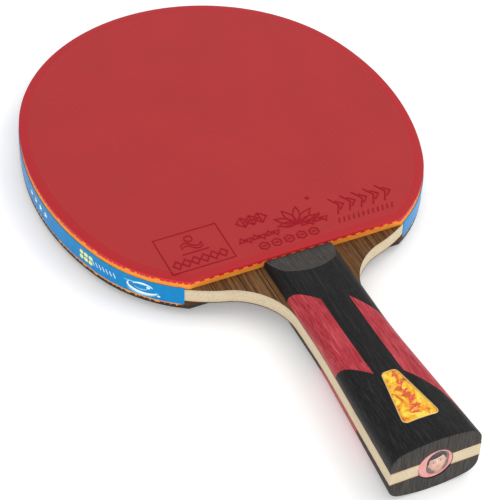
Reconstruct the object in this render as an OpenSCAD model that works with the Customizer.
// Table tennis paddle: five-ply blade, two rubber sheets on sponge, edge tape and a
// flared handle of two wooden scales with red side inlays, a foil badge and a butt medallion.
// The blade lies flat: its long axis runs along Y with the head at +Y, the forehand
// (red) face looks up, and the origin is under the middle of the whole paddle.

/* [Blade] */
// Length from the butt face to the tip of the head
blade_l = 257; // [250:0.5:262]
// Width of the head at its widest
head_w = 150; // [146:0.5:152]
// Radius of the outline round the tip of the head
tip_r = 73; // [71:0.5:75]
// Radius of the outline at the sides of the head
side_r = 108; // [104:1:114]
// Radius of the outline below the sides, towards the handle
lower_r = 58; // [54:0.5:62]
// Turn, measured from the tip, at which the side arc gives way to the lower arc
lower_turn = 111.5; // [108:0.5:114]
// Radius of the hollow between head and handle
neck_r = 24.5; // [20:0.5:28]
// Thickness of the core ply
core_t = 3.6; // [3:0.1:4.2]
// Thickness of each middle ply
middle_t = 0.95; // [0.6:0.05:1.2]
// Thickness of each dark face ply
face_t = 0.45; // [0.3:0.05:0.6]

/* [Rubber] */
// Distance from the butt face to the straight cut of both rubber sheets
cut_y = 104; // [102:0.5:107]
// Thickness of each sponge
sponge_t = 2.15; // [1.5:0.05:2.2]
// Thickness of each topsheet, pips included
topsheet_t = 1.65; // [1.4:0.05:1.8]

/* [Edge tape] */
// Thickness of the edge tape
tape_t = 0.25; // [0.2:0.05:0.4]
// Reach of the tape above the middle of the blade
tape_up = 3.6; // [3.2:0.1:5]
// Reach of the tape below the middle of the blade
tape_down = 4.6; // [3.2:0.1:5]
// Distance from the butt face to both ends of the tape
tape_end_y = 105; // [104.5:0.5:110]

/* [Handle] */
// Width of the handle at the waist
waist_w = 27.5; // [26:0.5:29]
// Width of the handle at the butt
butt_w = 34.3; // [32:0.1:36]
// Thickness of the handle at the waist
waist_t = 18.8; // [18:0.1:22]
// Thickness of the handle at the butt
butt_t = 24.3; // [22:0.1:26]
// Length of the flare, from the butt face
flare_l = 67; // [60:1:72]
// Length of the bend in which the flare begins
bend_l = 20; // [15:1:30]
// Radius of the crown across the handle
crown_r = 55; // [50:1:70]
// Radius along the long edges of the handle at the waist
waist_edge_r = 4.8; // [4:0.1:5.2]
// Radius along the long edges of the handle at the butt
butt_edge_r = 5.8; // [4.5:0.1:7]
// Height of the scale above the middle of the blade at its head end
nose_h = 5.8; // [4.6:0.1:7]
// Length of the bevel at the head end of each scale
nose_l = 13; // [9:0.5:16]

/* [Inlays] */
// Width of the dark strip between the two inlays of a scale
strip_w = 10; // [8:0.5:13]
// Length of each inlay along the handle
inlay_l = 40; // [30:1:44]
// Radius of the curved ends of the inlays
inlay_r = 47; // [40:1:60]

/* [Badge] */
// Length of the foil badge
badge_l = 24; // [20:0.5:26]
// Width of the badge at its end towards the head
badge_top_w = 6; // [5:0.5:8]
// Width of the badge at its end towards the butt
badge_low_w = 14.4; // [12:0.2:16]
// Distance from the butt face to the badge
badge_y = 11.3; // [9:0.1:14]

/* [Butt medallion] */
// Diameter of the medallion
medal_d = 13.4; // [12:0.1:14]
// Depth of the bore that holds the medallion
medal_depth = 2.4; // [2:0.1:4]
// Height of the clear lens above the butt face
lens_rise = 0.9; // [0.5:0.1:1.4]
// Width of the portrait window
window_w = 8.4; // [7:0.1:9]
// Height of the portrait window
window_h = 11.2; // [10:0.1:11.6]
// Offset of the window from the middle of the medallion
window_off = 1; // [0:0.1:1]

/* [Hidden] */

$fn = 120;
far = 300;                 // reach of cutting shapes
lap = 1;                   // overlap of pieces joined within one solid
scale_gap = 0.2;           // between a scale and the rubber's cut edge
arc_step = 1.5;            // turn between points along the head's outline, degrees
bend_steps = 5;            // flats along the bend of the flare
taper_steps = 2;           // flats along the straight taper
edge_steps = 8;            // flats round each long edge
crown_steps = 5;           // flats across each half of the crown
neck_steps = 36;           // flats that make up the hollow of the neck

blade_t = core_t + 2 * (middle_t + face_t);
half_blade = blade_t / 2;
mid_z = butt_t / 2;
mid_y = (blade_l + tape_t - lens_rise) / 2;

// Blade outline: centres of its tangent arcs, with angles measured from +Y
function aim(a) = [sin(a), cos(a)];
tip_c = [0, blade_l - tip_r];
side_c = [head_w / 2 - side_r, tip_c.y - sqrt((side_r - tip_r) ^ 2 - (side_r - head_w / 2) ^ 2)];
tip_turn = atan2(tip_c.x - side_c.x, tip_c.y - side_c.y);
lower_c = side_c + (side_r - lower_r) * aim(lower_turn);
neck_x = waist_w / 2 + neck_r;
neck_c = [neck_x, lower_c.y - sqrt((lower_r + neck_r) ^ 2 - (neck_x - lower_c.x) ^ 2)];
neck_turn = atan2(neck_c.x - lower_c.x, neck_c.y - lower_c.y);

// Handle flare: nothing above flare_l, a parabola over the bend, then a straight taper to 1
flare_w = (butt_w - waist_w) / 2;
flare_t = (butt_t - waist_t) / 2;
function flare(y) =
    let (run = flare_l - y, full = flare_l - bend_l / 2)
    run <= 0 ? 0 : run < bend_l ? run ^ 2 / (2 * bend_l * full) : (run - bend_l / 2) / full;
stations = concat(
    [for (k = [0 : bend_steps]) flare_l - bend_l * k / bend_steps],
    [for (k = [1 : taper_steps]) (flare_l - bend_l) * (1 - k / taper_steps)]
);
nose_y = cut_y - scale_gap;
nose_angle = atan2(waist_t / 2 - nose_h, nose_l);

// Inlays: centres of the curved ends nearer the head
left_inlay_c = [-41.4, 46.3];
right_inlay_c = [-31.4, 43.9];

// Badge, measured from the crown's surface
badge_corner_r = 1.8;
badge_steps = 6;
badge_floor = -0.5;
foil_top = -0.25;
cover_top = 0.3;

// Medallion: the lens is a cap of a large sphere on the pink ring
ring_face = 0.3;
portrait_t = 0.5;
lens_r = ((medal_d / 2) ^ 2 + (lens_rise + ring_face) ^ 2) / (2 * (lens_rise + ring_face));

dark_ply = "#6b4a33";
pale_ply = "#dcc6a0";
sponge_orange = "#f08c3c";
stained_black = "#2c2b2a";
inlay_red = "#c03440";

// Puts a solid drawn about the butt face and the blade's middle plane into the part's frame
module placed() translate([0, -mid_y, mid_z]) children();

// Turns a forehand piece over to the backhand side
module over() rotate([0, 180, 0]) children();

module slab(z0, z1) translate([0, 0, z0]) linear_extrude(z1 - z0) children();

// Points along one side of the head, from the tip to the neck, with every arc grown outwards
function arc(c, r, a0, a1) =
    let (n = ceil((a1 - a0) / arc_step))
    [for (k = [1 : n]) c + r * aim(a0 + (a1 - a0) * k / n)];
function head_side(grow) = concat(
    [[0, blade_l + grow]],
    arc(tip_c, tip_r + grow, 0, tip_turn),
    arc(side_c, side_r + grow, tip_turn, lower_turn),
    arc(lower_c, lower_r + grow, lower_turn, neck_turn)
);

// Half profile of the flare, from the waist to the butt
function flare_side(base, spread) = [for (y = stations) [base + spread * flare(y), y]];

// The neck turns the other way, so its arc runs from the head's end back to the handle's side
function neck_side() = [
    for (k = [1 : neck_steps]) neck_c + neck_r * aim(180 + neck_turn - (neck_turn - 90) * k / neck_steps)
];

// Closes a half outline, whose first point is the tip, with its own mirror image
function both_sides(side) = concat(
    side,
    [for (i = [len(side) - 1 : -1 : 1]) [-side[i].x, side[i].y]]
);

module head(grow = 0) polygon(both_sides(head_side(grow)));
module blade_outline() polygon(both_sides(concat(
    head_side(0), neck_side(), flare_side(waist_w / 2, flare_w)
)));

// Bore across the butt for the medallion
module medal_bore() translate([0, -lap, 0]) rotate([-90, 0, 0]) cylinder(d = medal_d, h = medal_depth + lap);

module ply(z0, z1) difference() {
    slab(z0, z1) blade_outline();
    medal_bore();
}

module rubber(z0, z1) slab(z0, z1) intersection() {
    head();
    translate([-far / 2, cut_y]) square(far);
}

// Section of the upper grip at a distance from the butt: side wall, rounded edge and crown,
// each running into the next, and the same again on the other side
function grip_section(y) =
    let (
        half_w = waist_w / 2 + flare_w * flare(y),
        r = waist_edge_r + (butt_edge_r - waist_edge_r) * flare(y),
        crown_c = waist_t / 2 + flare_t * flare(y) - crown_r,
        edge_x = half_w - r,
        edge_z = crown_c + sqrt((crown_r - r) ^ 2 - edge_x ^ 2),
        meet = asin(edge_x / (crown_r - r)),
        side = concat(
            [[half_w, half_blade]],
            [for (k = [0 : edge_steps]) [edge_x, edge_z] + r * aim(90 - (90 - meet) * k / edge_steps)],
            [for (k = [1 : crown_steps]) [0, crown_c] + crown_r * aim(meet * (1 - k / crown_steps))]
        )
    )
    concat(side, [for (k = [len(side) - 2 : -1 : 0]) [-side[k].x, side[k].y]]);

// The sections joined into one solid along the grip
module grip_loft() {
    rings = [for (y = concat([cut_y], stations)) [for (p = grip_section(y)) [p.x, y, p.y]]];
    n = len(rings[0]);
    last = n * (len(rings) - 1);
    polyhedron(
        points = [for (ring = rings) each ring],
        faces = concat(
            [[for (j = [0 : n - 1]) j]],
            [for (i = [0 : n : last - 1], j = [0 : n - 1])
                let (next = (j + 1) % n) [i + j, i + n + j, i + n + next, i + next]],
            [[for (j = [n - 1 : -1 : 0]) last + j]]
        )
    );
}

// Crown of the handle, a solid of revolution about an axis along the handle
module crown(grow) translate([0, 0, waist_t / 2 - crown_r]) rotate([-90, 0, 0]) rotate_extrude($fn = 360)
    polygon(concat([[0, 0], [0, cut_y], [crown_r + grow, cut_y]], flare_side(crown_r + grow, flare_t)));

// Plan of one inlay, between two equal arcs and beside the dark strip
module inlay_plan(c, side) intersection() {
    difference() {
        translate(c) circle(inlay_r);
        translate([c.x, c.y - inlay_l]) circle(inlay_r);
    }
    translate([side * (strip_w + far) / 2, 0]) square([far, far], center = true);
}

module left_inlay_block() slab(0, far / 10) inlay_plan(left_inlay_c, -1);
module right_inlay_block() slab(0, far / 10) inlay_plan(right_inlay_c, 1);

// Upper half of the grip, before inlays and badge are let in
module grip() difference() {
    grip_loft();
    translate([0, nose_y, nose_h]) rotate([-nose_angle, 0, 0])
        translate([-far / 2, -far / 2, 0]) cube([far, far, far / 2]);
    translate([-far / 2, nose_y, 0]) cube(far);
    medal_bore();
}

module scale_body() difference() {
    grip();
    left_inlay_block();
    right_inlay_block();
}

module left_inlay() intersection() {
    grip();
    left_inlay_block();
}

module right_inlay() intersection() {
    grip();
    right_inlay_block();
}

// Convex outline with every corner rounded to the same radius
function unit(v) = v / norm(v);
function rounded(pts, r, steps) = [
    for (i = [0 : len(pts) - 1])
        let (
            p = pts[i],
            a = unit(pts[(i + len(pts) - 1) % len(pts)] - p),
            b = unit(pts[(i + 1) % len(pts)] - p),
            half = acos(a * b) / 2,
            c = p + unit(a + b) * r / sin(half),
            out = atan2(p.y - c.y, p.x - c.x)
        )
        for (k = [0 : steps])
            let (t = out + (90 - half) * (2 * k / steps - 1))
            c + r * [cos(t), sin(t)]
];

module badge_plan() translate([0, badge_y]) polygon(rounded(
    [
        [-badge_low_w / 2, 0], [badge_low_w / 2, 0],
        [badge_top_w / 2, badge_l], [-badge_top_w / 2, badge_l]
    ], badge_corner_r, badge_steps));

// A layer of the badge between two heights above the crown
module badge_layer(low, high) intersection() {
    difference() {
        crown(high);
        crown(low);
    }
    slab(0, far / 10) badge_plan();
}

module window_plan(grow = 0) translate([window_off, 0]) {
    for (s = [-1, 1]) translate([0, s * (window_h - window_w) / 2]) circle(window_w / 2 + grow);
    square([window_w + 2 * grow, window_h - window_w], center = true);
}

// Turns a plan drawn on the butt, seen from behind it, to face -Y
module on_butt(from_y, depth) translate([0, from_y + depth, 0]) rotate([90, 0, 0])
    linear_extrude(depth) children();

module core_ply() color(pale_ply) placed() ply(-core_t / 2, core_t / 2);
module forehand_middle_ply() color(pale_ply) placed() ply(core_t / 2, core_t / 2 + middle_t);
module backhand_middle_ply() color(pale_ply) placed() ply(-core_t / 2 - middle_t, -core_t / 2);
module forehand_face_ply() color(dark_ply) placed() ply(half_blade - face_t, half_blade);
module backhand_face_ply() color(dark_ply) placed() ply(-half_blade, face_t - half_blade);

module forehand_sponge() color(sponge_orange) placed() rubber(half_blade, half_blade + sponge_t);
module backhand_sponge() color(sponge_orange) placed() rubber(-half_blade - sponge_t, -half_blade);
module forehand_topsheet() color("#c0363c") placed()
    rubber(half_blade + sponge_t, half_blade + sponge_t + topsheet_t);
module backhand_topsheet() color("#1d1d1f") placed()
    rubber(-half_blade - sponge_t - topsheet_t, -half_blade - sponge_t);

module edge_tape() color("#008cd7") placed() slab(-tape_down, tape_up) intersection() {
    difference() {
        head(tape_t);
        head();
    }
    translate([-far / 2, tape_end_y]) square(far);
}

module forehand_scale() color(stained_black) placed() difference() {
    scale_body();
    badge_layer(badge_floor, 2 * cover_top);
}
module backhand_scale() color(stained_black) placed() over() scale_body();
module forehand_left_inlay() color(inlay_red) placed() left_inlay();
module forehand_right_inlay() color(inlay_red) placed() right_inlay();
module backhand_left_inlay() color(inlay_red) placed() over() left_inlay();
module backhand_right_inlay() color(inlay_red) placed() over() right_inlay();

module badge_foil() color("#e0a020") placed() badge_layer(badge_floor, foil_top);
module badge_cover() color("#f4dc9a") placed() badge_layer(foil_top, cover_top);

module butt_ring() color("#e89a98") placed() difference() {
    on_butt(ring_face, medal_depth - ring_face) circle(d = medal_d);
    on_butt(ring_face - lap, portrait_t + lap) window_plan();
}
module butt_portrait() color("#e8c8b4") placed() on_butt(ring_face, portrait_t) window_plan();
module butt_lens() color("#f0f4f6") placed() intersection() {
    on_butt(-far / 10, ring_face + far / 10) circle(d = medal_d);
    translate([0, lens_r - lens_rise, 0]) sphere(lens_r, $fn = 200);
}

core_ply();
forehand_middle_ply();
backhand_middle_ply();
forehand_face_ply();
backhand_face_ply();
forehand_sponge();
backhand_sponge();
forehand_topsheet();
backhand_topsheet();
edge_tape();
forehand_scale();
backhand_scale();
forehand_left_inlay();
forehand_right_inlay();
backhand_left_inlay();
backhand_right_inlay();
badge_foil();
badge_cover();
butt_ring();
butt_portrait();
butt_lens();
